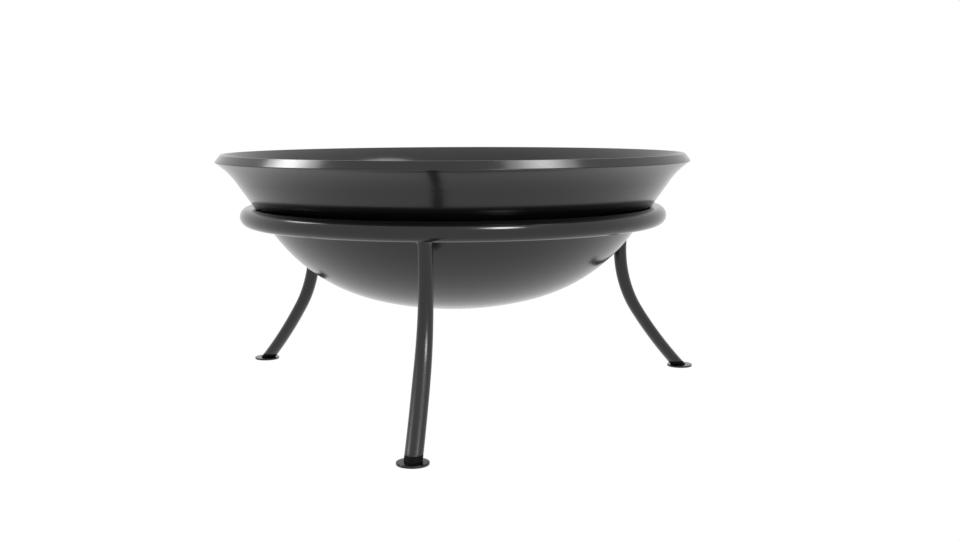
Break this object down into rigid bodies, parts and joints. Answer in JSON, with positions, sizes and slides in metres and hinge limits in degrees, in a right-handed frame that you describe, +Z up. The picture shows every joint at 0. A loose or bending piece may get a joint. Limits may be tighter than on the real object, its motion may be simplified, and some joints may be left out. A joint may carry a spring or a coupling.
{
  "type": "coal forge fire bowl",
  "caption": "Shallow flared iron bowl for a coal fire, resting loose in the ring of a splayed-leg tube stand, with a lift-out bar grate.",
  "frame": {"origin": "on the floor, directly under the bowl's axis", "axes": "+Z up along the bowl's axis; one leg points towards -Y and the two others towards +Y and either side"},
  "size_m": [0.7458, 0.7774, 0.36],
  "materials": {
    "black_coat": "smooth near-black satin coat on steel",
    "bowl_coat": "smooth near-black satin coat on cast iron",
    "plug_plastic": "moulded black plastic",
    "zinc_steel": "zinc plated screw steel",
    "grate_iron": "bare iron rod, heat-darkened"
  },
  "bodies": {
    "stand": {"support_ring": "black_coat", "leg_1": "black_coat", "leg_2": "black_coat", "leg_3": "black_coat", "leg_weld_1": "black_coat", "leg_weld_2": "black_coat", "leg_weld_3": "black_coat", "foot_plug_1": "plug_plastic", "foot_plug_2": "plug_plastic", "foot_plug_3": "plug_plastic", "foot_plate_1": "black_coat", "foot_plate_2": "black_coat", "foot_plate_3": "black_coat", "foot_screw_1": "zinc_steel", "foot_screw_2": "zinc_steel", "foot_screw_3": "zinc_steel"},
    "bowl": {"bowl_shell": "bowl_coat"},
    "grate": {"grate_ring": "grate_iron", "grate_brace": "grate_iron", "grate_loop_1": "grate_iron", "grate_loop_2": "grate_iron", "grate_bar_1": "grate_iron", "grate_bar_2": "grate_iron", "grate_bar_3": "grate_iron", "grate_bar_4": "grate_iron", "grate_bar_5": "grate_iron", "grate_bar_6": "grate_iron", "grate_bar_7": "grate_iron", "grate_bar_8": "grate_iron", "grate_bar_9": "grate_iron"}
  },
  "joints": [
    {"name": "bowl_lift", "type": "slide", "parent": "stand", "child": "bowl", "axis": [0, 0, 1], "range_m": [0, 0.2]},
    {"name": "grate_lift", "type": "slide", "parent": "bowl", "child": "grate", "axis": [0, 0, 1], "range_m": [0, 0.25]}
  ]
}
